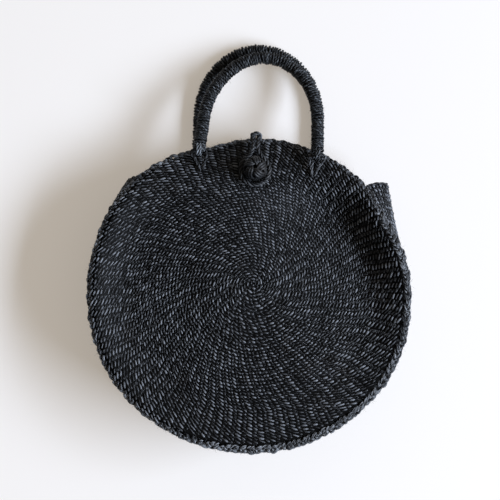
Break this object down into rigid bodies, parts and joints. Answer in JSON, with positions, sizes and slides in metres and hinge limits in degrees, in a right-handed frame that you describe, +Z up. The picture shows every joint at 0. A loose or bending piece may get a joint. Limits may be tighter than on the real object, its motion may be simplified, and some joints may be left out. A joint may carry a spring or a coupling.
{
  "type": "woven handbag",
  "caption": "Round flat-lying handbag of twined black abaca with a gusset, dished front, wrapped arch handles on lashed feet, and a knotted knob with a cord loop to close the mouth.",
  "frame": {"origin": "centre of the back panel's resting face", "axes": "+X to the bag's right as it lies on its back, +Y towards the mouth and handles, +Z up out of the front panel"},
  "size_m": [0.363, 0.4662, 0.084],
  "materials": {
    "twined_abaca": "satin fibre, twined",
    "plaited_abaca": "satin fibre, plaited",
    "abaca_cord": "satin fibre, twisted cord"
  },
  "bodies": {
    "bag_body": {"back_panel": "twined_abaca", "back_border": "plaited_abaca", "gusset": "twined_abaca", "front_panel": "twined_abaca", "front_seam_border": "plaited_abaca", "back_left_lashing": "abaca_cord", "back_right_lashing": "abaca_cord"},
    "mouth_flap": {"front_mouth_flap": "twined_abaca", "front_mouth_border": "plaited_abaca", "front_left_lashing": "abaca_cord", "front_right_lashing": "abaca_cord", "knob_core": "abaca_cord", "knob_knot": "abaca_cord", "knob_shank": "abaca_cord"},
    "front_handle": {"front_handle_core": "abaca_cord", "front_handle_winding": "abaca_cord"},
    "back_handle": {"back_handle_core": "abaca_cord", "back_handle_winding": "abaca_cord"},
    "loop": {"closure_loop": "abaca_cord"}
  },
  "joints": [
    {"name": "mouth_open", "type": "hinge", "parent": "bag_body", "child": "mouth_flap", "pos_m": [0, 0.11659, 0.06357], "axis": [1, 0, 0], "range_deg": [0, 35], "deforming": ["closure_loop"]},
    {"name": "front_handle_swing", "type": "hinge", "parent": "mouth_flap", "child": "front_handle", "pos_m": [0.003, 0.15337, 0.05674], "axis": [1, 0, 0], "range_deg": [0, 130]},
    {"name": "back_handle_swing", "type": "hinge", "parent": "bag_body", "child": "back_handle", "pos_m": [0.0025, 0.15675, 0.00715], "axis": [-1, 0, 0], "range_deg": [0, 120]},
    {"name": "loop_lift", "type": "hinge", "parent": "bag_body", "child": "loop", "pos_m": [0, 0.17, 0.0193], "axis": [-1, 0, 0], "range_deg": [0, 112], "deforming": ["closure_loop"]}
  ],
  "couplings": [
    {"joint": "loop_lift", "follows": "mouth_open", "ratio": 3.2}
  ]
}
